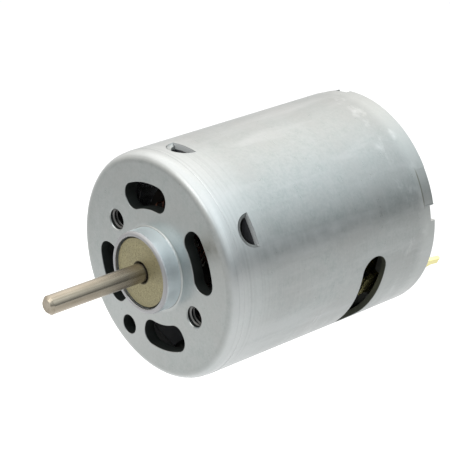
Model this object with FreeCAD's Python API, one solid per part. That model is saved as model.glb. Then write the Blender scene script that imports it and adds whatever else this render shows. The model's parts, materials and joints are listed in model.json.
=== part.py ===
"""Small brushed direct-current can motor, 27.7 mm in diameter, one STEP file per piece.

Frame: the origin is the centre of the front mounting face, on the shaft axis. +Y runs from
that face into the motor, so the output shaft points along -Y. The motor is built with its
terminals on the X axis and is then rolled about its shaft by roll_angle when it is saved.
Angles are in degrees in the X-Z plane, counted from +X (terminal side) towards +Z.
"""
import FreeCAD, Part
import math
import os

# ---------------------------------------------------------------- driving dimensions, mm
roll_angle = -28.5

can_radius = 13.85
can_length = 32.8
can_wall = 0.75
face_thickness = 1.5
front_edge_radius = 1.2
inner_edge_radius = 0.5
rim_edge_radius = 0.12
draw_line = 1.75
draw_step = 0.05
inner_radius = can_radius - can_wall

boss_radius = 5.0
boss_height = 2.4
boss_bore_radius = 4.4
boss_outer_lip = 0.4
boss_inner_lip = 0.12
boss_foot_radius = 0.2

vent_inner_radius = 7.1
vent_outer_radius = 10.3
vent_half_angle = 24.5
vent_corner_radius = 1.45
vent_angle = 50.7

screw_circle_radius = 8.0
screw_hole_radius = 1.25
screw_chamfer = 0.12
key_hole_radius = 1.2
key_hole_offset = 10.5
key_hole_angle = 270.0

slot_start = 20.8
slot_end = 24.6
slot_half_angle = 25.5
edge_break = 0.08

lance_back = 4.9
lance_dish = (0.8, 2.2, 2.1)
lance_pocket = (2.2, 1.5, 1.75)
lance_sheet = 0.65
lance_angle = 60.5

notch_depth = 0.75
notch_half_angle = 4.1
notch_angles = (37.7, 127.7, 217.7, 307.7)
stake_half_angle = 9.5
stake_offset_angle = 14.0
stake_start = 31.3
stake_dent = 0.12
stake_lip_reach = 0.45
stake_lip_start = 32.1
stake_lip_end = 32.6

shaft_radius = 1.15
shaft_tip = -15.5
shaft_tail = 35.2
shaft_chamfer = 0.33
running_clearance = 0.02
seat_clearance = 0.01
fit_gap = 0.05
oil_groove_start = -2.1
oil_groove_width = 0.64
oil_groove_depth = 0.1

front_bush_face = -2.07
front_bush_radius = boss_bore_radius - seat_clearance
bush_chamfer = 0.2
bush_edge_chamfer = 0.2

magnet_inner_radius = 9.8
magnet_outer_radius = inner_radius - fit_gap
magnet_half_angle = 60.0
magnet_start = lance_back + fit_gap
magnet_end = 20.5
magnet_corner_radius = 0.5

clip_start = 7.0
clip_end = 17.0
clip_thickness = 0.35
clip_leg_inner_radius = 10.4
clip_leg_top = -0.05
clip_leg_shortening = 0.15
clip_band_play = 0.02
clip_angle_play = 1.5

pole_count = 5
pole_pitch = 360.0 / pole_count
core_radius = 9.35
core_start = 6.5
lamination_pitch = 0.5
lamination_gap = 0.01
lamination_count = 24
core_end = core_start + lamination_pitch * lamination_count
yoke_radius = 3.4
tooth_half_width = 1.5
tip_inner_radius = 8.15
slot_mouth_half_width = 1.0
insulator_thickness = 0.3
insulator_radius = 9.1
insulator_border = 0.15
stack_gap = 0.03

coil_layer_front = 0.7
coil_layer_rear = 0.5
coil_insulation = 0.25
coil_centre_gap = 0.15
coil_inner = 3.95
coil_outer = 7.1
coil_crown = 7.7
coil_bend_inner = (4.9, 0.9)
coil_bend_middle = 3.45
coil_bend_radius = 1.0
coil_corner_radius = 0.25

commutator_radius = 3.0
commutator_hub_radius = 2.2
commutator_gap_angle = 6.6
hub_start = 21.7
hub_end = 28.8
segment_start = 22.5
segment_end = 28.2
tang_length = 4.3
tang_half_width = 0.5
tang_thickness = 0.5
tang_root = 0.4
tang_hook_end = 23.8
ring_start = 28.25
ring_end = 28.75
ring_radius = 3.2
varistor_start = 21.6
varistor_end = 22.4
varistor_radius = 4.8

sleeve_radius = 1.9
washer_radius = 2.5
washer_thickness = 0.25
end_play = 0.1
front_washer_start = face_thickness + end_play

cap_front = 25.2
cap_floor = 29.2
cap_back = 32.05
cap_radius = inner_radius - fit_gap
cap_skirt_inner_radius = 11.9
cap_boss_radius = 4.9
cap_boss_end = 34.8
cap_edge_radius = 0.3
cap_vent_inner_radius = 6.4
cap_vent_outer_radius = 9.6
cap_vent_half_angle = 30.0
cap_vent_corner_radius = 1.55
rear_bush_radius = 3.2
rear_bush_start = 30.9
rear_bush_end = 34.4
cap_shaft_hole_radius = 2.7

strip_inner = 12.0
strip_thickness = 0.5
strip_half_width = 1.4
strip_start = 23.3
strip_end = 33.0
strip_play = 0.03
doorway_half_width = 1.9
tab_tip = 36.55
tab_lean = 0.5
tab_high_edge = 0.45
tab_low_edge = -1.25
tab_shoulder_start = 34.2
tab_shoulder_end = 35.4
tab_neck_edge = -0.45
tab_tip_radius = 0.15
tab_shoulder_radius = 0.3
post_inner = 10.0
post_thickness = 0.4
post_top = 5.3
foot_height = 0.9
foot_thickness = 0.5
post_start = 24.7
post_end = 27.5

arm_thickness = 0.2
arm_height = 4.95
arm_tip = -1.7
weld_gap = 0.04
arm_root = post_inner - weld_gap
arm_root_bottom = 2.2
arm_start = 24.9
arm_end = 27.3
arm_bend_radius = 0.35
brush_half_width = 1.2
brush_start = 24.6
brush_end = 27.6
brush_face_clearance = 0.03

ORIGIN = FreeCAD.Vector(0, 0, 0)
SHAFT_AXIS = FreeCAD.Vector(0, 1, 0)
RADIAL = FreeCAD.Vector(1, 0, 0)


# ---------------------------------------------------------------- shape helpers
def point(x, y, z):
    return FreeCAD.Vector(x, y, z)


def polar(radius, degrees, y):
    """Point at a radius and an angle about the shaft axis."""
    angle = math.radians(degrees)
    return point(radius * math.cos(angle), y, radius * math.sin(angle))


def outward(shape):
    """The same solid with its faces pointing outwards."""
    if shape.Volume < 0:
        shape.reverse()
    return shape


def spun(shape, degrees):
    """A copy turned about the shaft axis, from +X towards +Z."""
    copy = shape.copy()
    copy.rotate(ORIGIN, point(0, -1, 0), degrees)
    return copy


def rounded_corner(before, corner, after):
    """Start, middle and end of the arc that rounds one corner (a, b, radius)."""
    a, b, radius = corner
    to_before = FreeCAD.Vector(before[0] - a, before[1] - b, 0).normalize()
    to_after = FreeCAD.Vector(after[0] - a, after[1] - b, 0).normalize()
    here = FreeCAD.Vector(a, b, 0)
    if radius == 0:
        return here, here, here
    half = to_before.getAngle(to_after) / 2
    reach = radius / math.tan(half)
    inward = (to_before + to_after).normalize()
    centre = here + inward * (radius / math.sin(half))
    return here + to_before * reach, centre - inward * radius, here + to_after * reach


def outline(corners, place):
    """Closed wire through corners (a, b, rounding radius); place makes (a, b) a point."""
    count = len(corners)
    rounded = []
    for index in range(count):
        after = corners[(index + 1) % count]
        rounded.append(rounded_corner(corners[index - 1], corners[index], after))
    edges = []
    for index in range(count):
        start, middle, end = (place(p.x, p.y) for p in rounded[index])
        following = rounded[(index + 1) % count][0]
        if corners[index][2] > 0:
            edges.append(Part.Arc(start, middle, end).toShape())
        edges.append(Part.makeLine(end, place(following.x, following.y)))
    return Part.Wire(edges)


def turned(corners):
    """Solid turned about the shaft axis from corners (radius, y, rounding radius)."""
    face = Part.Face(outline(corners, lambda r, y: point(r, y, 0)))
    return outward(face.revolve(ORIGIN, SHAFT_AXIS, 360))


def ring(inner, outer, start, end):
    """Plain washer or sleeve about the shaft axis."""
    corners = [(inner, start, 0), (outer, start, 0), (outer, end, 0), (inner, end, 0)]
    return turned(corners)


def rod(radius, start, end):
    """Plain cylinder on the shaft axis."""
    return Part.makeCylinder(radius, end - start, point(0, start, 0), SHAFT_AXIS)


def plate(corners, start, end):
    """Outline of corners (x, z, rounding radius) extruded along the shaft."""
    face = Part.Face(outline(corners, lambda x, z: point(x, start, z)))
    return outward(face.extrude(point(0, end - start, 0)))


def strip(corners, low, high):
    """Outline of corners (x, y, rounding radius) extruded along Z."""
    face = Part.Face(outline(corners, lambda x, y: point(x, y, low)))
    return outward(face.extrude(point(0, 0, high - low)))


def side_plate(corners, near, far):
    """Outline of corners (z, y, rounding radius) extruded along X."""
    face = Part.Face(outline(corners, lambda z, y: point(near, y, z)))
    return outward(face.extrude(point(far - near, 0, 0)))


def block(x0, x1, y0, y1, z0, z1):
    return Part.makeBox(x1 - x0, y1 - y0, z1 - z0, point(x0, y0, z0))


def sector(inner, outer, start, end, middle, half):
    """Part of a ring, from middle - half to middle + half degrees."""
    a, b = middle - half, middle + half

    def arc(radius, first, last):
        halfway = polar(radius, (first + last) / 2, start)
        return Part.Arc(polar(radius, first, start), halfway, polar(radius, last, start))

    edges = [
        arc(outer, a, b).toShape(),
        Part.makeLine(polar(outer, b, start), polar(inner, b, start)),
        arc(inner, b, a).toShape(),
        Part.makeLine(polar(inner, a, start), polar(outer, a, start)),
    ]
    face = Part.Face(Part.Wire(edges))
    return outward(face.extrude(point(0, end - start, 0)))


def rounded_sector(inner, outer, start, end, middle, half, radius):
    """A sector whose four corner edges along the shaft are rounded."""
    body = sector(inner, outer, start, end, middle, half)
    along = [edge for edge in body.Edges if abs(edge.tangentAt(edge.FirstParameter).y) > 0.99]
    return body.makeFillet(radius, along)


# ---------------------------------------------------------------- housing
def side_slot(middle):
    """Cutter for one slot with round ends through the side of the can."""
    end_radius = (slot_end - slot_start) / 2
    level = (slot_start + slot_end) / 2
    end_angle = slot_half_angle - math.degrees(end_radius / can_radius)
    reach = can_radius + 1
    depth = inner_radius - 1
    cutter = sector(depth, reach, slot_start, slot_end, middle, end_angle)
    for side in (-1, 1):
        end = Part.makeCylinder(end_radius, reach - depth, point(depth, level, 0), RADIAL)
        cutter = cutter.fuse(spun(end, middle + side * end_angle))
    return cutter


def half_ellipsoid(depth, length, half_width):
    """Half of an ellipsoid centred on the side wall and cut off flat at lance_back."""
    size = FreeCAD.Matrix()
    size.scale(depth, length, half_width)
    form = Part.makeSphere(1).transformGeometry(size)
    form.translate(point(can_radius, lance_back, 0))
    front = block(0, 2 * can_radius, 0, lance_back, -half_width - 1, half_width + 1)
    return form.common(front)


def mirrored(angle):
    """The angle and its mirror images, two to each side of the line through the screws."""
    return angle, 180 - angle, 180 + angle, 360 - angle


def lance_form(offset):
    """A deep pocket within a shallow dish, both sheared off at lance_back.

    offset 0 is the punch itself; a positive offset gives the skin round it.
    """
    dish, pocket = (half_ellipsoid(*(extent + offset for extent in extents))
                    for extents in (lance_dish, lance_pocket))
    return dish.fuse(pocket)


def pierced_edges(body):
    """Outer edges of the holes pierced in the face and of the slots in the side wall."""
    tolerance = 0.02
    found = []
    for edge in body.Edges:
        points = edge.discretize(7)
        radii = [math.hypot(p.x, p.z) for p in points]
        on_face = all(abs(p.y) < tolerance for p in points)
        beyond_boss = min(radii) > boss_radius + 1 and max(radii) < can_radius - 1.5
        on_side = all(abs(radius - can_radius) < tolerance for radius in radii)
        beside_slot = all(slot_start - 0.1 < p.y < slot_end + 0.1 for p in points)
        if (on_face and beyond_boss) or (on_side and beside_slot):
            found.append(edge)
    return found


def can():
    """Deep-drawn steel case: face, boss, side wall and everything pierced in them."""
    body = turned([
        (boss_bore_radius, face_thickness, 0),
        (boss_bore_radius, -boss_height, boss_inner_lip),
        (boss_radius, -boss_height, boss_outer_lip),
        (boss_radius, 0, boss_foot_radius),
        (can_radius - draw_step, 0, front_edge_radius),
        (can_radius - draw_step, draw_line, 0),
        (can_radius, draw_line + draw_step, 0),
        (can_radius, can_length, rim_edge_radius),
        (inner_radius, can_length, rim_edge_radius),
        (inner_radius, face_thickness, inner_edge_radius),
    ])
    inside_wall = rod(can_radius - can_wall / 2, 0, can_length)
    for angle in mirrored(lance_angle):
        skin = lance_form(lance_sheet).common(inside_wall)
        body = body.fuse(spun(skin, angle))
    for angle in notch_angles:
        middle = angle + stake_offset_angle
        lip_inner = inner_radius - stake_lip_reach
        lip_outer = inner_radius + can_wall / 2
        lip = sector(lip_inner, lip_outer, stake_lip_start, stake_lip_end, middle,
                     stake_half_angle)
        body = body.fuse(lip)
    cutters = [spun(lance_form(0), angle) for angle in mirrored(lance_angle)]
    for angle in notch_angles:
        cutters.append(sector(inner_radius - 1, can_radius + 1, can_length - notch_depth,
                              can_length + 1, angle, notch_half_angle))
        cutters.append(sector(can_radius - stake_dent, can_radius + 1, stake_start,
                              can_length + 1, angle + stake_offset_angle, stake_half_angle))
    for angle in (0, 180):
        cutters.append(side_slot(angle))
        centre = polar(screw_circle_radius, angle, -1)
        hole = Part.makeCylinder(screw_hole_radius, face_thickness + 2, centre, SHAFT_AXIS)
        mouth = Part.makeCone(screw_hole_radius + screw_chamfer, screw_hole_radius,
                              screw_chamfer, polar(screw_circle_radius, angle, 0), SHAFT_AXIS)
        cutters.append(hole.fuse(mouth))
    key_centre = polar(key_hole_offset, key_hole_angle, -1)
    cutters.append(Part.makeCylinder(key_hole_radius, face_thickness + 2, key_centre,
                                     SHAFT_AXIS))
    for angle in mirrored(vent_angle):
        cutters.append(rounded_sector(vent_inner_radius, vent_outer_radius, -1,
                                      face_thickness + 1, angle, vent_half_angle,
                                      vent_corner_radius))
    for cutter in cutters:
        body = body.cut(cutter)
    return body.makeFillet(edge_break, pierced_edges(body))


def front_bearing():
    bore = shaft_radius + running_clearance
    end = face_thickness
    return turned([
        (bore + bush_chamfer, front_bush_face, 0),
        (front_bush_radius - bush_edge_chamfer, front_bush_face, 0),
        (front_bush_radius, front_bush_face + bush_edge_chamfer, 0),
        (front_bush_radius, end, 0),
        (bore + bush_chamfer, end, 0),
        (bore, end - bush_chamfer, 0),
        (bore, front_bush_face + bush_chamfer, 0),
    ])


def rear_bearing():
    bore = shaft_radius + running_clearance
    outer = rear_bush_radius - seat_clearance
    return turned([
        (bore + bush_chamfer, rear_bush_start, 0),
        (outer, rear_bush_start, 0),
        (outer, rear_bush_end, bush_edge_chamfer),
        (bore + bush_chamfer, rear_bush_end, 0),
        (bore, rear_bush_end - bush_chamfer, 0),
        (bore, rear_bush_start + bush_chamfer, 0),
    ])


def magnet(middle):
    return rounded_sector(magnet_inner_radius, magnet_outer_radius, magnet_start, magnet_end,
                          middle, magnet_half_angle, magnet_corner_radius)


def magnet_clip(middle):
    """Sprung channel that pushes the two magnets apart across one gap."""
    gap_half_angle = 90 - magnet_half_angle
    band = sector(magnet_outer_radius - clip_thickness, magnet_outer_radius - clip_band_play,
                  clip_start, clip_end, 0, gap_half_angle - clip_angle_play)
    leg_outer = magnet_outer_radius - clip_leg_shortening
    leg = block(clip_leg_inner_radius, leg_outer, clip_start, clip_end,
                clip_leg_top - clip_thickness, clip_leg_top)
    mirrored_leg = block(clip_leg_inner_radius, leg_outer, clip_start, clip_end,
                         -clip_leg_top, clip_thickness - clip_leg_top)
    body = band.fuse(spun(leg, gap_half_angle)).fuse(spun(mirrored_leg, -gap_half_angle))
    return spun(body, middle)


def end_cap():
    """Moulded end bell: floor, skirt towards the magnets and boss for the rear bush."""
    body = turned([
        (cap_shaft_hole_radius, cap_floor, 0),
        (cap_skirt_inner_radius, cap_floor, 0),
        (cap_skirt_inner_radius, cap_front, 0),
        (cap_radius, cap_front, cap_edge_radius),
        (cap_radius, cap_back, 0),
        (cap_boss_radius, cap_back, cap_edge_radius),
        (cap_boss_radius, cap_boss_end, cap_edge_radius),
        (rear_bush_radius, cap_boss_end, 0),
        (rear_bush_radius, rear_bush_start, 0),
        (cap_shaft_hole_radius, rear_bush_start, 0),
    ])
    for angle in (90, 270):
        body = body.cut(rounded_sector(cap_vent_inner_radius, cap_vent_outer_radius,
                                       cap_floor - 1, cap_back + 1, angle,
                                       cap_vent_half_angle, cap_vent_corner_radius))
    passage = block(strip_inner - strip_play, strip_inner + strip_thickness + strip_play,
                    cap_floor - 1, cap_back + 1, -strip_half_width - strip_play,
                    strip_half_width + strip_play)
    doorway = block(cap_skirt_inner_radius - 1, can_radius, cap_front - 1, cap_floor,
                    -doorway_half_width, doorway_half_width)
    for angle in (0, 180):
        body = body.cut(spun(passage, angle)).cut(spun(doorway, angle))
    return body


def terminal(middle):
    """Brass strip: tab outside the cap, and a foot and post that carry the brush arm."""
    outer = strip_inner + strip_thickness
    flat = strip([
        (strip_inner, strip_start, 0),
        (outer, strip_start, 0),
        (outer, strip_end, 0),
        (strip_inner, strip_end, 0),
    ], -strip_half_width, strip_half_width)
    tab = strip([
        (strip_inner, strip_end - 0.2, 0),
        (outer, strip_end - 0.2, 0),
        (outer + tab_lean, tab_tip, tab_tip_radius),
        (strip_inner + tab_lean, tab_tip, tab_tip_radius),
    ], tab_low_edge, tab_high_edge)
    shoulder = side_plate([
        (tab_low_edge, strip_end - 1, 0),
        (tab_high_edge, strip_end - 1, 0),
        (tab_high_edge, tab_tip + 1, 0),
        (tab_neck_edge, tab_tip + 1, 0),
        (tab_neck_edge, tab_shoulder_end, tab_shoulder_radius),
        (tab_low_edge, tab_shoulder_start, tab_shoulder_radius),
    ], strip_inner - 1, outer + 1)
    tab = tab.common(shoulder)
    foot = block(post_inner, outer, post_start, post_end, foot_height,
                 foot_height + foot_thickness)
    post = block(post_inner, post_inner + post_thickness, post_start, post_end, foot_height,
                 post_top)
    body = flat.fuse(tab).fuse(foot).fuse(post).removeSplitter()
    return spun(body, middle)


# ---------------------------------------------------------------- brush gear
def brush_arm(middle):
    """Leaf spring: a root welded to the post and a long leaf over the commutator."""
    top = arm_height + arm_thickness
    inner = arm_root - arm_thickness
    body = plate([
        (arm_root, arm_root_bottom, 0),
        (arm_root, top, arm_bend_radius),
        (arm_tip, top, 0),
        (arm_tip, arm_height, 0),
        (inner, arm_height, arm_bend_radius - arm_thickness),
        (inner, arm_root_bottom, 0),
    ], arm_start, arm_end)
    return spun(body, middle)


def brush(middle):
    """Carbon block with a face hollowed to the commutator's radius."""
    body = block(-brush_half_width, brush_half_width, brush_start, brush_end, 0, arm_height)
    face_radius = commutator_radius + brush_face_clearance
    return spun(body.cut(rod(face_radius, brush_start - 1, brush_end + 1)), middle)


# ---------------------------------------------------------------- rotor
def shaft():
    groove_middle = oil_groove_start + oil_groove_width / 2
    groove_end = oil_groove_start + oil_groove_width
    groove_radius = shaft_radius - oil_groove_depth
    tip_radius = shaft_radius - shaft_chamfer
    return turned([
        (0, shaft_tip, 0),
        (tip_radius, shaft_tip, 0),
        (shaft_radius, shaft_tip + shaft_chamfer, 0),
        (shaft_radius, oil_groove_start, 0),
        (groove_radius, groove_middle, 0),
        (shaft_radius, groove_end, 0),
        (shaft_radius, shaft_tail - shaft_chamfer, 0),
        (tip_radius, shaft_tail, 0),
        (0, shaft_tail, 0),
    ])


def pole_star(radius, tip_inner, neck_half_width, start, end):
    """Five-pole sheet: hub, teeth and curved tooth tips parted by the slot mouths."""
    body = rod(yoke_radius, start, end).fuse(ring(tip_inner, radius, start, end))
    tooth = block(0, (tip_inner + radius) / 2, start, end, -neck_half_width, neck_half_width)
    mouth = block(yoke_radius, radius + 1, start - 1, end + 1, -slot_mouth_half_width,
                  slot_mouth_half_width)
    for index in range(pole_count):
        body = body.fuse(spun(tooth, (index + 0.5) * pole_pitch))
    for index in range(pole_count):
        body = body.cut(spun(mouth, index * pole_pitch))
    bore = rod(shaft_radius + seat_clearance, start - 1, end + 1)
    return body.cut(bore).removeSplitter()


def core_laminations():
    sheet = pole_star(core_radius, tip_inner_radius, tooth_half_width, core_start,
                      core_start + lamination_pitch - lamination_gap)
    sheets = []
    for index in range(lamination_count):
        copy = sheet.copy()
        copy.translate(point(0, index * lamination_pitch, 0))
        sheets.append(copy)
    return Part.makeCompound(sheets)


def insulator(start):
    return pole_star(insulator_radius, tip_inner_radius - insulator_border,
                     tooth_half_width + insulator_border, start,
                     start + insulator_thickness - stack_gap)


def coil_side_corners():
    """One coil side in slot coordinates: x along the slot, z towards the wound teeth."""
    half_pitch = math.radians(pole_pitch / 2)
    stand_off = tooth_half_width + coil_insulation

    def beside_tooth(x):
        along = (x - stand_off * math.sin(half_pitch)) / math.cos(half_pitch)
        return along * math.sin(half_pitch) - stand_off * math.cos(half_pitch)

    return [
        (coil_inner, coil_centre_gap),
        (coil_inner, beside_tooth(coil_inner)),
        (coil_outer, beside_tooth(coil_outer)),
        (coil_crown, coil_centre_gap),
    ]


def coil(index):
    """Coil round two teeth, one layer further from the core than the coil before it."""
    front = core_start - insulator_thickness - stack_gap - index * coil_layer_front
    rear = core_end + insulator_thickness + stack_gap + index * coil_layer_rear
    front_end = front - coil_layer_front + stack_gap
    rear_end = rear + coil_layer_rear - stack_gap
    side = coil_side_corners()
    near_side = plate([(x, z, coil_corner_radius) for x, z in side], front_end, rear_end)
    far_side = plate([(x, -z, coil_corner_radius) for x, z in side], front_end, rear_end)

    def seen_from_middle(x, z, turn):
        angle = math.radians(turn)
        return (x * math.cos(angle) - z * math.sin(angle),
                x * math.sin(angle) + z * math.cos(angle))

    outer, inner = side[2], coil_bend_inner
    near_outer = seen_from_middle(*outer, -pole_pitch)
    near_inner = seen_from_middle(*inner, -pole_pitch)
    bend = [
        (near_outer[0], near_outer[1], coil_corner_radius),
        (coil_bend_middle, 0, coil_bend_radius),
        (near_outer[0], -near_outer[1], coil_corner_radius),
        (near_inner[0], -near_inner[1], 0),
        (near_inner[0], near_inner[1], 0),
    ]
    slot = index * pole_pitch
    body = spun(near_side, slot).fuse(spun(far_side, slot + 2 * pole_pitch))
    for start, end in ((front_end, front), (rear, rear_end)):
        body = body.fuse(spun(plate(bend, start, end), slot + pole_pitch))
    return body.removeSplitter()


def commutator_segment(index):
    half = (pole_pitch - commutator_gap_angle) / 2
    bar = sector(commutator_hub_radius + seat_clearance, commutator_radius, segment_start,
                 segment_end, 0, half)
    tang = block(commutator_radius - tang_root, tang_length, segment_start,
                 segment_start + tang_thickness, -tang_half_width, tang_half_width)
    hook = block(tang_length - tang_thickness, tang_length, segment_start, tang_hook_end,
                 -tang_half_width, tang_half_width)
    body = bar.fuse(tang).fuse(hook).removeSplitter()
    return spun(body, index * pole_pitch)


def save(node, shape):
    spun(shape, roll_angle).exportStep(f"parts/{node}.step")


os.makedirs("parts", exist_ok=True)

save("can", can())
save("front_bearing", front_bearing())
save("rear_bearing", rear_bearing())
save("end_cap", end_cap())
save("magnet_upper", magnet(90))
save("magnet_lower", magnet(270))
save("magnet_clip_right", magnet_clip(0))
save("magnet_clip_left", magnet_clip(180))
for pole, facing in (("positive", 0), ("negative", 180)):
    save(f"terminal_{pole}", terminal(facing))
    save(f"brush_arm_{pole}", brush_arm(facing))
    save(f"brush_{pole}", brush(facing))

on_shaft = shaft_radius + seat_clearance
front_spacer_start = front_washer_start + washer_thickness + stack_gap
rear_washer_start = rear_bush_start - end_play - washer_thickness
save("shaft", shaft())
save("core_laminations", core_laminations())
save("front_insulator", insulator(core_start - insulator_thickness))
save("rear_insulator", insulator(core_end + stack_gap))
save("front_spacer", ring(on_shaft, sleeve_radius, front_spacer_start,
                          core_start - insulator_thickness - stack_gap))
save("front_thrust_washer", ring(on_shaft, washer_radius, front_washer_start,
                                 front_washer_start + washer_thickness))
save("rear_spacer", ring(on_shaft, sleeve_radius, hub_end + stack_gap,
                         rear_washer_start - stack_gap))
save("rear_thrust_washer", ring(on_shaft, washer_radius, rear_washer_start,
                                rear_washer_start + washer_thickness))
save("commutator_hub", ring(on_shaft, commutator_hub_radius, hub_start, hub_end))
save("commutator_ring", ring(commutator_hub_radius + seat_clearance, ring_radius, ring_start,
                             ring_end))
save("varistor_ring", ring(commutator_hub_radius + fit_gap, varistor_radius, varistor_start,
                           varistor_end))
for number in range(pole_count):
    save(f"commutator_segment_{number + 1}", commutator_segment(number))
    save(f"winding_{number + 1}", coil(number))
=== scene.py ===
"""Looks of the small can motor: materials, wound wire, screw threads, light and camera.

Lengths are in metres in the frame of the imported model: +Y runs from the mounting face into
the motor, +Z is up. The motor is rolled about its shaft, so places round the shaft are given
in motor coordinates (x towards the right terminal, z across it) and turned by motor_point.
"""

import json
import math

import bmesh
import bpy
from mathutils import Matrix, Vector


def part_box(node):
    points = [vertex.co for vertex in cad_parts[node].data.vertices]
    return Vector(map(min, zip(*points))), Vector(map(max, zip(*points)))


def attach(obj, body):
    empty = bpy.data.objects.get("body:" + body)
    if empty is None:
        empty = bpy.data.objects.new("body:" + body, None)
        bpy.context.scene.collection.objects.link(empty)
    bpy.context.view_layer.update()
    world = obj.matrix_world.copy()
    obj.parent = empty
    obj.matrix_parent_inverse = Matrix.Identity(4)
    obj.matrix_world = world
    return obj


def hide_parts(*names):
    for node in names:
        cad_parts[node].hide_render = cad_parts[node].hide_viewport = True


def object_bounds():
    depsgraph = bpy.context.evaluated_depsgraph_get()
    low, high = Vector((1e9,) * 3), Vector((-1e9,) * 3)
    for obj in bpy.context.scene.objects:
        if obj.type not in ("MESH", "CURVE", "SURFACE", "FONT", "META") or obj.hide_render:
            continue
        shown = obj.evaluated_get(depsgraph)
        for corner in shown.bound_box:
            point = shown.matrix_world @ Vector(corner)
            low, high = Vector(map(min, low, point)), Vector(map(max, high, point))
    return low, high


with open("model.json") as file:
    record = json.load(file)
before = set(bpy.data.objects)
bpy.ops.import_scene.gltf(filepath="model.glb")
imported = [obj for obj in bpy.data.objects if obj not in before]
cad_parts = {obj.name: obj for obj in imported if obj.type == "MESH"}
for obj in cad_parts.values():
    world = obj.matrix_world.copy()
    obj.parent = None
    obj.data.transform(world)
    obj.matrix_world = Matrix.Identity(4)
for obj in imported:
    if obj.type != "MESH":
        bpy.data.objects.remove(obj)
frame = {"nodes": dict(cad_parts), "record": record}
cad_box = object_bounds()
nodes = frame["nodes"]

MM = 0.001
ROLL = math.radians(-28.5)

POLE_COUNT = 5
POLE_PITCH = 360 / POLE_COUNT
COIL_LAYER_FRONT = 0.67
COIL_LAYER_REAR = 0.47
WIRE_DIAMETER = 0.24
WIRE_ROWS = 4
COIL_LEG_RADIUS = 4.35
COIL_LEG_REACH = 2.55
COIL_LEG_OFFSET = 0.45
COIL_LEG_SPREAD = 0.55
COIL_LAYER_SPREAD = 1.1
COIL_MIDDLE_RADIUS = 2.53
COIL_MIDDLE_REACH = 0.78
COIL_CORNER = 0.14
COIL_SLOT_ENTRY = 0.5
COIL_BEND_SHARE = 0.08

SCREW_CIRCLE_RADIUS = 8.0
THREAD_ROOT_RADIUS = 1.262
THREAD_DEPTH = 0.2
THREAD_FOOT = 0.14
THREAD_CREST = 0.02
THREAD_PITCH = 0.45
THREAD_START = 0.33
THREAD_TURNS = 2.4
THREAD_STEPS = 36
THREAD_FADE_STEPS = 12
STAKE_ANGLE = math.radians(23.2)

CAN_RADIUS = 13.85
CAN_WALL = 0.75
BOSS_RADIUS = 5.0
BOSS_HEIGHT = 2.4
BUSH_RADIUS = 4.38
BORE_MOUTH_RADIUS = 1.37
FACE_HOLES_REACH = 12.0
SLOT_START = 20.8
SLOT_END = 24.6
LANCE_BACK = 4.9
STAKE_START = 31.3
CAN_LENGTH = 32.8

CAP_BACK = 32.05
MARK_RADIUS = 9.4
MARK_ANGLE = 24
MARK_REACH = 1.4
MARK_HALF_WIDTH = 0.34
MARK_HEIGHT = 0.3
MARK_SUNK = 0.05
MARK_BEVEL = 0.05

FLOOR_SIZE = 4
FLOOR_GAP = 0.0002

TENT_PEAK = 2.4

CAMERA_AZIMUTH = math.radians(48.775)
CAMERA_ELEVATION = math.radians(23.561)
CAMERA_DISTANCE = 214.18 * MM
CAMERA_RIGHT = 8.189 * MM
CAMERA_UP = 4.956 * MM
CAMERA_LENS = 147.34


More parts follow.
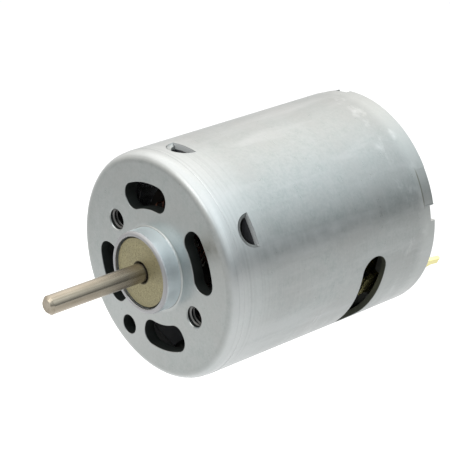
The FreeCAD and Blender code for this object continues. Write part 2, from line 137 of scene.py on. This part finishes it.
# ------------------------------------------------------------------ materials
class Surface:
    """One principled material, built up with textures in object coordinates."""

    def __init__(self, name, colour, metallic=0.0, roughness=0.5, **sockets):
        self.material = bpy.data.materials.new(name)
        self.material.use_nodes = True
        self.tree = self.material.node_tree
        self.bsdf = self.tree.nodes["Principled BSDF"]
        self.bsdf.inputs["Base Color"].default_value = (*colour, 1)
        self.bsdf.inputs["Metallic"].default_value = metallic
        self.bsdf.inputs["Roughness"].default_value = roughness
        for socket, value in sockets.items():
            self.bsdf.inputs[socket.replace("_", " ")].default_value = value
        self.coords = self.tree.nodes.new("ShaderNodeTexCoord").outputs["Object"]

    def node(self, kind, inputs, **settings):
        """Adds a node; an input is a plain value or the output of another node."""
        made = self.tree.nodes.new(kind)
        for name, value in settings.items():
            setattr(made, name, value)
        for key, value in inputs.items():
            if isinstance(value, bpy.types.NodeSocket):
                self.tree.links.new(value, made.inputs[key])
            else:
                made.inputs[key].default_value = value
        return made

    def stretched(self, stretch):
        return self.node("ShaderNodeVectorMath", {0: self.coords, 1: stretch},
                         operation="MULTIPLY").outputs[0]

    def noise(self, scale, stretch=(1, 1, 1), detail=3.0, roughness=0.55):
        """Grey noise; scale counts features per metre."""
        return self.node("ShaderNodeTexNoise", {"Vector": self.stretched(stretch), "Scale": scale,
                         "Detail": detail, "Roughness": roughness}).outputs["Fac"]

    def spots(self, scale, stretch=(1, 1, 1)):
        """Distance to scattered points, 0 in the middle of each."""
        return self.node("ShaderNodeTexVoronoi", {"Vector": self.stretched(stretch),
                         "Scale": scale}).outputs["Distance"]

    def remap(self, value, low, high, to_low, to_high):
        return self.node("ShaderNodeMapRange", {"Value": value, "From Min": low, "From Max": high,
                         "To Min": to_low, "To Max": to_high}).outputs["Result"]

    def along(self, axis):
        """One object coordinate, in metres; 1 is along the shaft."""
        return self.node("ShaderNodeSeparateXYZ", {0: self.coords}).outputs[axis]

    def shaft_distance(self):
        """Distance from the shaft axis, in metres."""
        flat = self.stretched((1, 0, 1))
        return self.node("ShaderNodeVectorMath", {0: flat}, operation="LENGTH").outputs["Value"]

    def within(self, value, low, high, blur):
        """1 where value is between low and high, with soft ends blur wide."""
        above = self.remap(value, low - blur, low, 0, 1)
        below = self.remap(value, high, high + blur, 1, 0)
        return self.maths("MULTIPLY", above, below)

    def both(self, a, b):
        return self.maths("MULTIPLY", a, b)

    def maths(self, operation, a, b):
        return self.node("ShaderNodeMath", {0: a, 1: b}, operation=operation).outputs[0]

    def mix(self, factor, a, b):
        """Blend of two colours."""
        inputs = {"Factor": factor, "A": a, "B": b}
        made = self.tree.nodes.new("ShaderNodeMix")
        made.data_type = "RGBA"
        sockets = {"Factor": made.inputs[0], "A": made.inputs[6], "B": made.inputs[7]}
        for key, value in inputs.items():
            if isinstance(value, bpy.types.NodeSocket):
                self.tree.links.new(value, sockets[key])
            elif key == "Factor":
                sockets[key].default_value = value
            else:
                sockets[key].default_value = (*value, 1)
        return made.outputs[2]

    def tinted(self, colour, tint):
        """A colour output multiplied by a plain tint."""
        return self.node("ShaderNodeVectorMath", {0: colour, 1: tint},
                         operation="MULTIPLY").outputs[0]

    def feed(self, socket, value):
        self.tree.links.new(value, self.bsdf.inputs[socket])

    def bump(self, height, strength, depth):
        made = self.node("ShaderNodeBump", {"Height": height, "Strength": strength,
                         "Distance": depth})
        self.feed("Normal", made.outputs["Normal"])


def plated_steel():
    """Satin zinc-coloured plating with drawing marks round the can and soft mottling.

    The inside and the cut walls of the holes are rougher bare steel darkened with painted shade,
    and the lance pockets are filled with painted shade. The boss was rubbed brighter by the
    drawing tools. A band at the open end is partly burnished and partly a painted highlight, a
    band near the front is partly drawing polish and partly a painted highlight, and the staked
    dents and the front face are darkened with painted shade.
    """
    s = Surface("plated_steel", (0.29, 0.31, 0.305), metallic=1.0, roughness=0.34)
    rings = s.noise(30, stretch=(1, 70, 1), detail=6, roughness=0.7)
    fine = s.noise(60, stretch=(1, 160, 1), detail=2)
    grain = s.noise(2600, detail=3, roughness=0.7)
    mottle = s.noise(800, detail=4, roughness=0.6)
    cloud = s.noise(150, detail=3)
    specks = s.spots(700)
    scratch = s.spots(260, stretch=(1, 9, 1))
    tone = s.mix(s.remap(mottle, 0.34, 0.66, 0, 1), (0.272, 0.293, 0.286), (0.312, 0.326, 0.322))
    tone = s.mix(s.remap(grain, 0.4, 0.62, 0, 0.30), tone, (0.37, 0.385, 0.38))
    tone = s.mix(s.remap(cloud, 0.42, 0.62, 0, 0.4), tone, (0.305, 0.308, 0.30))
    tone = s.mix(s.remap(rings, 0.54, 0.66, 0, 0.4), tone, (0.35, 0.362, 0.36))
    tone = s.mix(s.remap(specks, 0.03, 0.06, 0.5, 0), tone, (0.17, 0.16, 0.145))
    tone = s.mix(s.remap(scratch, 0.02, 0.05, 0.7, 0), tone, (0.50, 0.51, 0.51))

    distance = s.maths("DIVIDE", s.shaft_distance(), MM)
    depth = s.maths("DIVIDE", s.along(1), MM)
    wall_inside = CAN_RADIUS - CAN_WALL
    side = s.remap(distance, CAN_RADIUS - 1.05, CAN_RADIUS - 0.25, 0, 1)
    # Partly drawing polish, partly a painted highlight: a lighter band along the side near the
    # front stands in for the reflection of the slight taper there.
    front_polish_and_highlight = s.both(side, s.remap(depth, 1.2, 7.5, 0.5, 0))
    tone = s.mix(front_polish_and_highlight, tone, (0.50, 0.515, 0.515))
    hoops = s.noise(24, stretch=(1, 120, 1), detail=2, roughness=0.5)
    near_front = s.both(side, s.remap(depth, 3, 8, 1, 0))
    tone = s.mix(s.both(near_front, s.remap(hoops, 0.54, 0.66, 0, 0.26)), tone,
                 (0.22, 0.232, 0.23))
    tone = s.mix(s.remap(depth, 18, 29, 0, 0.22), tone, (0.21, 0.22, 0.213))
    wiped = s.noise(260, stretch=(1, 0.2, 1), detail=4, roughness=0.6)
    tone = s.mix(s.both(side, s.remap(wiped, 0.52, 0.70, 0, 0.5)), tone, (0.40, 0.41, 0.41))
    # Lighter band at the open end: partly burnished by the drawing tools, partly a painted
    # highlight standing in for the slight flare of the rim.
    rim_burnish_and_highlight = s.remap(depth, CAN_LENGTH - 3, CAN_LENGTH - 1.6, 0, 0.32)
    tone = s.mix(rim_burnish_and_highlight, tone, (0.44, 0.455, 0.445))
    scuffs = s.noise(420, stretch=(1, 1.4, 1), detail=4, roughness=0.6)
    scuffed = s.both(s.remap(scuffs, 0.54, 0.78, 0, 0.4),
                     s.within(depth, CAN_LENGTH - 5, CAN_LENGTH - 2, 1))
    tone = s.mix(s.both(side, scuffed), tone, (0.58, 0.59, 0.59))

    # Painted shade: the staked dents are darkened behind STAKE_START, with a darker line along
    # their crease, standing in for the shading of the dents' sloped walls.
    turn = s.maths("ARCTAN2", s.along(2), s.along(0))
    staked = s.maths("COSINE", s.maths("MULTIPLY", s.maths("SUBTRACT", turn, STAKE_ANGLE), 4), 0)
    staked = s.remap(staked, 0.70, 0.90, 0, 1)
    tone = s.mix(s.both(staked, s.remap(depth, STAKE_START - 0.3, STAKE_START, 0, 0.32)), tone,
                 (0.25, 0.255, 0.24))
    painted_crease_shade = s.within(depth, STAKE_START - 0.2, STAKE_START - 0.1, 0.08)
    tone = s.mix(s.both(staked, s.both(painted_crease_shade, 0.7)), tone, (0.12, 0.12, 0.09))

    # Painted shade: the flat front face is a darker copy of the plating, to tone down how brightly
    # it is lit.
    on_face = s.both(s.remap(depth, 0.1, 0.35, 1, 0),
                     s.remap(distance, BOSS_RADIUS + 0.2, BOSS_RADIUS + 0.5, 0, 1))
    tone = s.mix(on_face, tone, s.tinted(tone, (0.85, 0.85, 0.845)))
    on_boss = s.both(s.remap(depth, -0.13, -0.26, 0, 1),
                     s.remap(distance, BOSS_RADIUS + 0.6, BOSS_RADIUS + 0.4, 0, 1))
    boss_top = s.remap(depth, 0.45 - BOSS_HEIGHT, 0.2 - BOSS_HEIGHT, 0, 1)
    boss_tone = s.mix(boss_top, (0.74, 0.81, 0.84), (0.27, 0.27, 0.275))
    tone = s.mix(on_boss, tone, boss_tone)

    # Painted shade: the inside of the can and the walls of the face holes are darkened almost to
    # black; as bare steel they are also rougher.
    behind_face = s.both(s.remap(depth, 0.09, 0.16, 0, 1),
                         s.remap(distance, FACE_HOLES_REACH, FACE_HOLES_REACH - 0.2, 0, 1))
    beyond_lances = s.both(s.remap(depth, LANCE_BACK + 0.05, LANCE_BACK + 0.15, 0, 1),
                           s.remap(distance, wall_inside + 0.08, wall_inside + 0.02, 0, 1))
    bare_and_shaded = s.maths("MAXIMUM", behind_face, beyond_lances)
    tone = s.mix(bare_and_shaded, tone, (0.055, 0.062, 0.058))
    # Painted shade: the cut walls of the side slots are dark olive; as bare cut steel they are
    # also duller and rougher.
    slot_wall = s.both(s.within(depth, SLOT_START - 0.02, SLOT_END + 0.02, 0.03),
                       s.remap(distance, CAN_RADIUS - 0.04, CAN_RADIUS - 0.08, 0, 1))
    tone = s.mix(slot_wall, tone, (0.046, 0.049, 0.034))
    # Painted shade: the lance pockets are painted nearly black.
    pocket_shade = s.both(s.remap(distance, wall_inside, wall_inside - 0.2, 0, 1),
                       s.within(depth, 2.0, LANCE_BACK - 0.03, 0.03))
    tone = s.mix(pocket_shade, tone, (0.03, 0.03, 0.028))
    sheared = s.both(s.within(depth, LANCE_BACK - 0.01, LANCE_BACK + 0.01, 0.03),
                     s.within(distance, wall_inside + 0.02, CAN_RADIUS - 0.06, 0.04))
    tone = s.mix(sheared, tone, (0.42, 0.43, 0.43))
    s.feed("Base Color", tone)
    dull = s.maths("MAXIMUM", sheared, s.both(slot_wall, 0.6))
    s.feed("Metallic", s.remap(dull, 0, 1, 1, 0.1))

    rough = s.maths("ADD", s.remap(mottle, 0.3, 0.7, 0.29, 0.37),
                    s.remap(rings, 0.3, 0.7, -0.05, 0.05))
    rough = s.maths("ADD", rough, s.remap(s.maths("MAXIMUM", bare_and_shaded, slot_wall), 0, 1, 0, 0.25))
    rough = s.maths("ADD", rough, s.remap(on_boss, 0, 1, 0, 0.14))
    s.feed("Roughness", rough)
    height = s.maths("ADD", s.remap(rings, 0, 1, 0, 0.4), s.remap(fine, 0, 1, 0, 0.3))
    height = s.maths("ADD", height, s.remap(grain, 0, 1, 0, 0.12))
    height = s.maths("ADD", height, s.remap(mottle, 0, 1, 0, 0.2))
    s.bump(height, 0.2, 0.02 * MM)
    return s.material


def sintered_bronze():
    """Pressed bronze powder: khaki, speckled, with painted shade darkening the outer edge and the
    bore mouth.
    """
    s = Surface("sintered_bronze", (0.40, 0.34, 0.20), metallic=0.75, roughness=0.5)
    grain = s.noise(5200, detail=4, roughness=0.7)
    pores = s.spots(3400)
    patch = s.noise(420, detail=3)
    tone = s.mix(s.remap(grain, 0.35, 0.65, 0, 1), (0.150, 0.134, 0.072), (0.285, 0.256, 0.150))
    tone = s.mix(s.remap(patch, 0.4, 0.65, 0, 0.35), tone, (0.175, 0.160, 0.098))
    tone = s.mix(s.remap(pores, 0.08, 0.28, 0.65, 0), tone, (0.075, 0.062, 0.04))
    distance = s.maths("DIVIDE", s.shaft_distance(), MM)
    # Painted shade: the outer edge of the bush and the mouth of its bore are darkened.
    outer_edge_shade = s.remap(distance, BUSH_RADIUS - 0.26, BUSH_RADIUS - 0.16, 0, 0.9)
    bore_mouth_shade = s.remap(distance, BORE_MOUTH_RADIUS + 0.12, BORE_MOUTH_RADIUS, 0, 0.8)
    edge_shade = s.maths("MAXIMUM", outer_edge_shade, bore_mouth_shade)
    tone = s.mix(edge_shade, tone, (0.022, 0.018, 0.010))
    s.feed("Base Color", tone)
    s.feed("Roughness", s.remap(grain, 0.3, 0.7, 0.42, 0.62))
    s.bump(s.maths("ADD", s.remap(pores, 0, 0.25, 0, 1), grain), 0.25, 0.02 * MM)
    return s.material


def ground_shaft():
    """Ground steel with a warm tint; the grinding smears what it mirrors lengthwise. Its lighter
    and darker lengthwise streaks are partly grinding marks and partly painted reflection bands.
    """
    s = Surface("ground_shaft", (0.29, 0.255, 0.20), metallic=1.0, roughness=0.22,
                Anisotropic=0.95, Anisotropic_Rotation=0.25)
    around = s.node("ShaderNodeTangent", {}, direction_type="RADIAL", axis="Y")
    s.feed("Tangent", around.outputs["Tangent"])
    rings = s.noise(120, stretch=(1, 60, 1), detail=4)
    grind_streaks_and_reflection_bands = s.noise(1500, stretch=(1, 0.03, 1), detail=4, roughness=0.65)
    patch = s.noise(260, detail=4)
    tone = s.mix(s.remap(patch, 0.35, 0.7, 0, 1), (0.262, 0.230, 0.182), (0.312, 0.277, 0.222))
    # Lighter and darker lengthwise streaks: partly grinding marks, partly painted reflection bands
    # fixed on the shaft.
    tone = s.mix(s.remap(grind_streaks_and_reflection_bands, 0.50, 0.62, 0, 0.4), tone, (0.37, 0.335, 0.275))
    tone = s.mix(s.remap(grind_streaks_and_reflection_bands, 0.47, 0.36, 0, 0.5), tone, (0.18, 0.152, 0.113))
    s.feed("Base Color", tone)
    s.feed("Roughness", s.remap(rings, 0.3, 0.7, 0.20, 0.25))
    return s.material


def ferrite():
    s = Surface("ferrite", (0.05, 0.05, 0.055), roughness=0.45)
    grain = s.noise(3000, detail=4)
    s.feed("Base Color", s.mix(grain, (0.035, 0.035, 0.04), (0.09, 0.09, 0.095)))
    s.feed("Roughness", s.remap(grain, 0.3, 0.7, 0.35, 0.6))
    s.bump(grain, 0.3, 0.03 * MM)
    return s.material


def rolled_metal(name, dark, light, rough, stretch=(1, 25, 1)):
    """Rolled or drawn bright metal with lines along one direction."""
    s = Surface(name, light, metallic=1.0, roughness=rough)
    lines = s.noise(350, stretch=stretch, detail=4)
    patch = s.noise(600, detail=3)
    s.feed("Base Color", s.mix(s.remap(patch, 0.35, 0.7, 0, 1), dark, light))
    s.feed("Roughness", s.remap(lines, 0.3, 0.7, rough - 0.06, rough + 0.08))
    s.bump(lines, 0.12, 0.01 * MM)
    return s.material


def moulded(name, dark, light, rough, grain_scale=2500):
    """Moulded or pressed plastic, card or ceramic with a fine skin."""
    s = Surface(name, light, roughness=rough)
    grain = s.noise(grain_scale, detail=3)
    cloud = s.noise(250, detail=2)
    tone = s.mix(s.remap(cloud, 0.3, 0.7, 0, 1), dark, light)
    s.feed("Base Color", tone)
    s.feed("Roughness", s.remap(grain, 0.3, 0.7, rough - 0.06, rough + 0.08))
    s.bump(grain, 0.15, 0.02 * MM)
    return s.material


def enamelled_copper():
    """Copper wire under a clear amber enamel."""
    s = Surface("enamelled_copper", (0.22, 0.09, 0.045), metallic=0.8, roughness=0.42,
                Coat_Weight=0.3, Coat_Roughness=0.2)
    patch = s.noise(500, detail=4)
    s.feed("Base Color", s.mix(s.remap(patch, 0.35, 0.7, 0, 1), (0.105, 0.045, 0.028),
                               (0.21, 0.095, 0.055)))
    s.bump(s.noise(2500, detail=2), 0.1, 0.02 * MM)
    return s.material


def laminated_steel():
    """Edges of punched sheets: a line every half millimetre along the stack."""
    s = Surface("laminated_steel", (0.10, 0.10, 0.11), metallic=1.0, roughness=0.4)
    patch = s.noise(700, detail=4)
    s.feed("Base Color", s.mix(patch, (0.06, 0.06, 0.065), (0.16, 0.16, 0.17)))
    s.feed("Roughness", s.remap(patch, 0.3, 0.7, 0.3, 0.5))
    s.bump(s.noise(500, stretch=(1, 20, 1)), 0.2, 0.02 * MM)
    return s.material


MATERIALS = {
    "can_steel": plated_steel(),
    "cut_steel": rolled_metal("cut_steel", (0.075, 0.075, 0.072), (0.15, 0.15, 0.145), 0.36),
    "sintered_bronze": sintered_bronze(),
    "shaft_steel": ground_shaft(),
    "ferrite": ferrite(),
    "spring_steel": rolled_metal("spring_steel", (0.55, 0.56, 0.57), (0.72, 0.73, 0.74), 0.2),
    "nylon": moulded("nylon", (0.018, 0.019, 0.017), (0.035, 0.036, 0.032), 0.42),
    "terminal_brass": rolled_metal("terminal_brass", (0.62, 0.56, 0.24), (0.74, 0.68, 0.33), 0.22),
    "leaf_bronze": rolled_metal("leaf_bronze", (0.55, 0.36, 0.18), (0.70, 0.50, 0.28), 0.25,
                                stretch=(12, 1, 12)),
    "carbon": moulded("carbon", (0.012, 0.012, 0.013), (0.03, 0.03, 0.032), 0.5, 4000),
    "lamination_steel": laminated_steel(),
    "insulation": moulded("insulation", (0.012, 0.009, 0.007), (0.028, 0.02, 0.016), 0.5),
    "enamelled_copper": enamelled_copper(),
    "commutator_copper": rolled_metal("commutator_copper", (0.60, 0.30, 0.16),
                                      (0.78, 0.44, 0.26), 0.22),
    "phenolic": moulded("phenolic", (0.05, 0.022, 0.01), (0.09, 0.04, 0.02), 0.4),
    "varistor_ceramic": moulded("varistor_ceramic", (0.03, 0.03, 0.033), (0.06, 0.06, 0.065), 0.6),
    "washer_fibre": moulded("washer_fibre", (0.25, 0.14, 0.06), (0.36, 0.22, 0.10), 0.7),
    "sleeve_plastic": moulded("sleeve_plastic", (0.55, 0.52, 0.42), (0.66, 0.63, 0.54), 0.4),
}


def dress_nodes():
    """Gives every carried-over node the material of its slot."""
    for part in frame["record"]["subparts"]:
        shown = nodes[part["node"]]
        shown.data.materials.clear()
        shown.data.materials.append(MATERIALS[part["material_slot"]])


# ------------------------------------------------------------------ geometry helpers
def motor_point(x, y, z):
    """Point from motor coordinates in millimetres to the frame in metres."""
    return Vector((x * math.cos(ROLL) - z * math.sin(ROLL), y,
                   x * math.sin(ROLL) + z * math.cos(ROLL))) * MM


def polar(radius, degrees, y):
    angle = math.radians(degrees)
    return motor_point(radius * math.cos(angle), y, radius * math.sin(angle))


# ------------------------------------------------------------------ wound wire
def turned_about_shaft(place, degrees):
    """An (x, z) place in motor millimetres turned about the shaft."""
    angle = math.radians(degrees)
    x, z = place
    return (x * math.cos(angle) - z * math.sin(angle), x * math.sin(angle) + z * math.cos(angle))


def wire_loop(slot_angle, across, layer, front, rear):
    """Control points of one turn: down one slot, over the front, up the other, over the rear.

    across is 0 next to the shaft and 1 outside; layer is 0 next to the core and 1 furthest.
    """
    leg = (COIL_LEG_RADIUS + COIL_LEG_REACH * across,
           COIL_LEG_OFFSET + across * (COIL_LEG_SPREAD + COIL_LAYER_SPREAD * layer))
    near = turned_about_shaft(leg, -POLE_PITCH)
    far = (near[0], -near[1])
    middle = (COIL_MIDDLE_RADIUS + COIL_MIDDLE_REACH * across, 0)
    front_level = front[0] + (front[1] - front[0]) * layer
    rear_level = rear[0] + (rear[1] - rear[0]) * layer

    def between(a, b, share):
        return (a[0] + (b[0] - a[0]) * share, a[1] + (b[1] - a[1]) * share)

    path = []
    for start, end, level, inward in ((near, far, front_level, 1), (far, near, rear_level, -1)):
        in_slot = level + inward * COIL_SLOT_ENTRY
        at_corner = level + inward * COIL_CORNER
        path += [(start, in_slot), (start, at_corner),
                 (between(start, middle, COIL_BEND_SHARE), level),
                 (between(start, middle, 0.5), level), (middle, level),
                 (between(end, middle, 0.5), level),
                 (between(end, middle, COIL_BEND_SHARE), level),
                 (end, at_corner), (end, in_slot)]
    points = []
    for place, level in path:
        x, z = turned_about_shaft(place, slot_angle + POLE_PITCH)
        points.append(motor_point(x, level, z))
    return points


def winding(index):
    """One coil as separate turns of round wire, in place of its CAD solid."""
    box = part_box(f"winding_{index + 1}")
    front_end, rear_end = box[0][1] / MM, box[1][1] / MM
    radius = WIRE_DIAMETER / 2
    front = (front_end + COIL_LAYER_FRONT - 2.2 * radius, front_end + 1.1 * radius)
    rear = (rear_end - COIL_LAYER_REAR + 2.2 * radius, rear_end - 1.1 * radius)
    data = bpy.data.curves.new(f"coil_wire_{index + 1}", "CURVE")
    data.dimensions = "3D"
    data.bevel_depth = radius * MM
    data.bevel_resolution = 2
    data.resolution_u = 3
    for row in range(WIRE_ROWS):
        for layer in (0, 1):
            points = wire_loop(index * POLE_PITCH, row / (WIRE_ROWS - 1), layer, front, rear)
            spline = data.splines.new("NURBS")
            spline.points.add(len(points) - 1)
            for control, place in zip(spline.points, points):
                control.co = (*place, 1)
            spline.order_u = 3
            spline.use_cyclic_u = True
    coil = bpy.data.objects.new(f"coil_wire_{index + 1}", data)
    coil.data.materials.append(MATERIALS["enamelled_copper"])
    bpy.context.scene.collection.objects.link(coil)
    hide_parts(f"winding_{index + 1}")
    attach(coil, "rotor")


# ------------------------------------------------------------------ screw threads
def screw_thread(name, angle):
    """Ridge of one tapped hole, wound down the hole and fading out at both ends."""
    centre = polar(SCREW_CIRCLE_RADIUS, angle, 0)
    count = int(THREAD_TURNS * THREAD_STEPS)
    mesh = bmesh.new()
    rings = []
    for step in range(count + 1):
        turn = 2 * math.pi * step / THREAD_STEPS
        fade = min(1, step / THREAD_FADE_STEPS, (count - step) / THREAD_FADE_STEPS)
        level = THREAD_START + THREAD_PITCH * step / THREAD_STEPS
        crest = THREAD_ROOT_RADIUS - THREAD_DEPTH * fade
        corners = ((THREAD_ROOT_RADIUS, level - THREAD_FOOT), (crest, level - THREAD_CREST),
                   (crest, level + THREAD_CREST), (THREAD_ROOT_RADIUS, level + THREAD_FOOT))
        ring = []
        for radius, y in corners:
            offset = Vector((math.cos(turn) * radius, y, math.sin(turn) * radius)) * MM
            ring.append(mesh.verts.new(centre + offset))
        rings.append(ring)
    for before, after in zip(rings, rings[1:]):
        for corner in range(4):
            following = (corner + 1) % 4
            mesh.faces.new((before[corner], before[following], after[following], after[corner]))
    mesh.faces.new(rings[0])
    mesh.faces.new(reversed(rings[-1]))
    bmesh.ops.recalc_face_normals(mesh, faces=mesh.faces)
    data = bpy.data.meshes.new(name)
    mesh.to_mesh(data)
    mesh.free()
    ridge = bpy.data.objects.new(name, data)
    ridge.data.materials.append(MATERIALS["cut_steel"])
    bpy.context.scene.collection.objects.link(ridge)
    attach(ridge, "housing")


# ------------------------------------------------------------------ polarity mark
def polarity_mark():
    """Raised plus moulded on the end cap beside the positive terminal."""
    centre = polar(MARK_RADIUS, MARK_ANGLE, CAP_BACK)
    arm = ((MARK_REACH, -MARK_HALF_WIDTH), (MARK_REACH, MARK_HALF_WIDTH),
           (MARK_HALF_WIDTH, MARK_HALF_WIDTH))
    outline = [turned_about_shaft(corner, 90 * quarter) for quarter in range(4)
               for corner in arm]
    mesh = bmesh.new()
    foot, top = ([mesh.verts.new(centre + motor_point(x, level, z)) for x, z in outline]
                 for level in (-MARK_SUNK, MARK_HEIGHT))
    mesh.faces.new(foot)
    lid = mesh.faces.new(reversed(top))
    for corner in range(len(outline)):
        following = (corner + 1) % len(outline)
        mesh.faces.new((foot[corner], top[corner], top[following], foot[following]))
    bmesh.ops.recalc_face_normals(mesh, faces=mesh.faces)
    bmesh.ops.bevel(mesh, geom=list(lid.edges), offset=MARK_BEVEL * MM, segments=2,
                    affect="EDGES")
    data = bpy.data.meshes.new("polarity_mark")
    mesh.to_mesh(data)
    mesh.free()
    mark = bpy.data.objects.new("polarity_mark", data)
    mark.data.materials.append(MATERIALS["nylon"])
    bpy.context.scene.collection.objects.link(mark)
    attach(mark, "housing")


# ------------------------------------------------------------------ studio
def light_tent():
    """World of one soft tent: bright above and to the left, dim at the right horizon."""
    world = bpy.data.worlds.new("light_tent")
    world.use_nodes = True
    tree = world.node_tree
    direction = tree.nodes.new("ShaderNodeTexCoord").outputs["Generated"]
    split = tree.nodes.new("ShaderNodeSeparateXYZ")
    tree.links.new(direction, split.inputs[0])

    def ramp(fac, stops):
        made = tree.nodes.new("ShaderNodeValToRGB")
        elements = made.color_ramp.elements
        while len(elements) < len(stops):
            elements.new(0.5)
        for element, (place, colour) in zip(elements, stops):
            element.position = place
            element.color = (*(part / TENT_PEAK for part in colour), 1)
        tree.links.new(fac, made.inputs[0])
        return made.outputs["Color"]

    def grey(value, tint=(1, 1, 1)):
        return tuple(value * part for part in tint)

    cool, warm = (0.94, 1.0, 1.03), (1.02, 1.0, 0.975)
    right = ramp(split.outputs["Z"], [(0, grey(0.30, cool)), (0.08, grey(0.42, cool)),
                 (0.16, grey(0.60, cool)), (0.34, grey(1.02, cool)), (0.5, grey(1.40, cool)),
                 (0.64, grey(1.78, cool)), (0.8, grey(2.2, cool)), (1, grey(2.3))])
    left = ramp(split.outputs["Z"], [(0, grey(1.25, warm)), (0.3, grey(1.5, warm)),
                (0.5, grey(1.9, warm)), (0.7, grey(2.4, warm)), (1, grey(2.3))])
    side = tree.nodes.new("ShaderNodeMapRange")
    side.interpolation_type = "SMOOTHSTEP"
    side.inputs["From Min"].default_value = 0.45
    side.inputs["From Max"].default_value = -0.35
    tree.links.new(split.outputs["X"], side.inputs["Value"])
    blend = tree.nodes.new("ShaderNodeMix")
    blend.data_type = "RGBA"
    tree.links.new(side.outputs["Result"], blend.inputs[0])
    tree.links.new(right, blend.inputs[6])
    tree.links.new(left, blend.inputs[7])
    background = tree.nodes["Background"]
    tree.links.new(blend.outputs[2], background.inputs["Color"])
    background.inputs["Strength"].default_value = TENT_PEAK
    bpy.context.scene.world = world


def floor():
    """White sheet lit from below, brightest under the motor and dimmer far away."""
    low = cad_box[0].z
    bpy.ops.mesh.primitive_plane_add(size=FLOOR_SIZE, location=(0, 0, low - FLOOR_GAP))
    sheet = bpy.context.object
    sheet.name = "floor"
    paper = Surface("floor_paper", (0.3, 0.3, 0.3), roughness=0.9)
    paper.bsdf.inputs["Emission Color"].default_value = (1, 1, 1, 1)
    from_motor = paper.node("ShaderNodeVectorMath", {0: paper.coords, 1: (0.012, -0.008, 0)},
                            operation="ADD").outputs[0]
    distance = paper.node("ShaderNodeVectorMath", {0: from_motor},
                          operation="LENGTH").outputs["Value"]
    near = paper.remap(distance, 0.016, 0.050, 1.15, 0.56)
    far = paper.remap(distance, 0.07, 0.25, 1.0, 0.3)
    paper.feed("Emission Strength", paper.maths("MULTIPLY", near, far))
    paper.feed("Base Color", paper.mix(paper.noise(300), (0.29, 0.29, 0.29), (0.31, 0.31, 0.31)))
    sheet.data.materials.append(paper.material)


def softbox(name, position, facing, size, radiance):
    """Area lamp of one brightness, whatever its size."""
    data = bpy.data.lights.new(name, "AREA")
    data.shape = "RECTANGLE"
    data.size, data.size_y = size
    data.energy = radiance * math.pi * size[0] * size[1]
    made = bpy.data.objects.new(name, data)
    made.location = position
    made.rotation_mode = "QUATERNION"
    made.rotation_quaternion = Vector(facing).to_track_quat("-Z", "Y")
    bpy.context.scene.collection.objects.link(made)


def studio():
    bpy.context.scene.view_settings.view_transform = "Standard"
    light_tent()
    floor()
    softbox("front_top", (-0.03, -0.30, 0.26), (0.03, 0.30, -0.24), (0.24, 0.08), 2.6)


def camera():
    cos_az, sin_az = math.cos(CAMERA_AZIMUTH), math.sin(CAMERA_AZIMUTH)
    cos_el, sin_el = math.cos(CAMERA_ELEVATION), math.sin(CAMERA_ELEVATION)
    back = Vector((sin_az * cos_el, -cos_az * cos_el, sin_el))
    right = Vector((cos_az, sin_az, 0))
    up = back.cross(right)
    data = bpy.data.cameras.new("camera")
    data.lens = CAMERA_LENS
    data.sensor_width = 36
    data.clip_start = 0.01
    made = bpy.data.objects.new("camera", data)
    axes = Matrix((right, up, back)).transposed()
    place = right * CAMERA_RIGHT + up * CAMERA_UP + back * CAMERA_DISTANCE
    made.matrix_world = Matrix.Translation(place) @ axes.to_4x4()
    bpy.context.scene.collection.objects.link(made)
    bpy.context.scene.camera = made


studio()
camera()
dress_nodes()
for coil_index in range(POLE_COUNT):
    winding(coil_index)
screw_thread("screw_thread_right", 0)
screw_thread("screw_thread_left", 180)
polarity_mark()
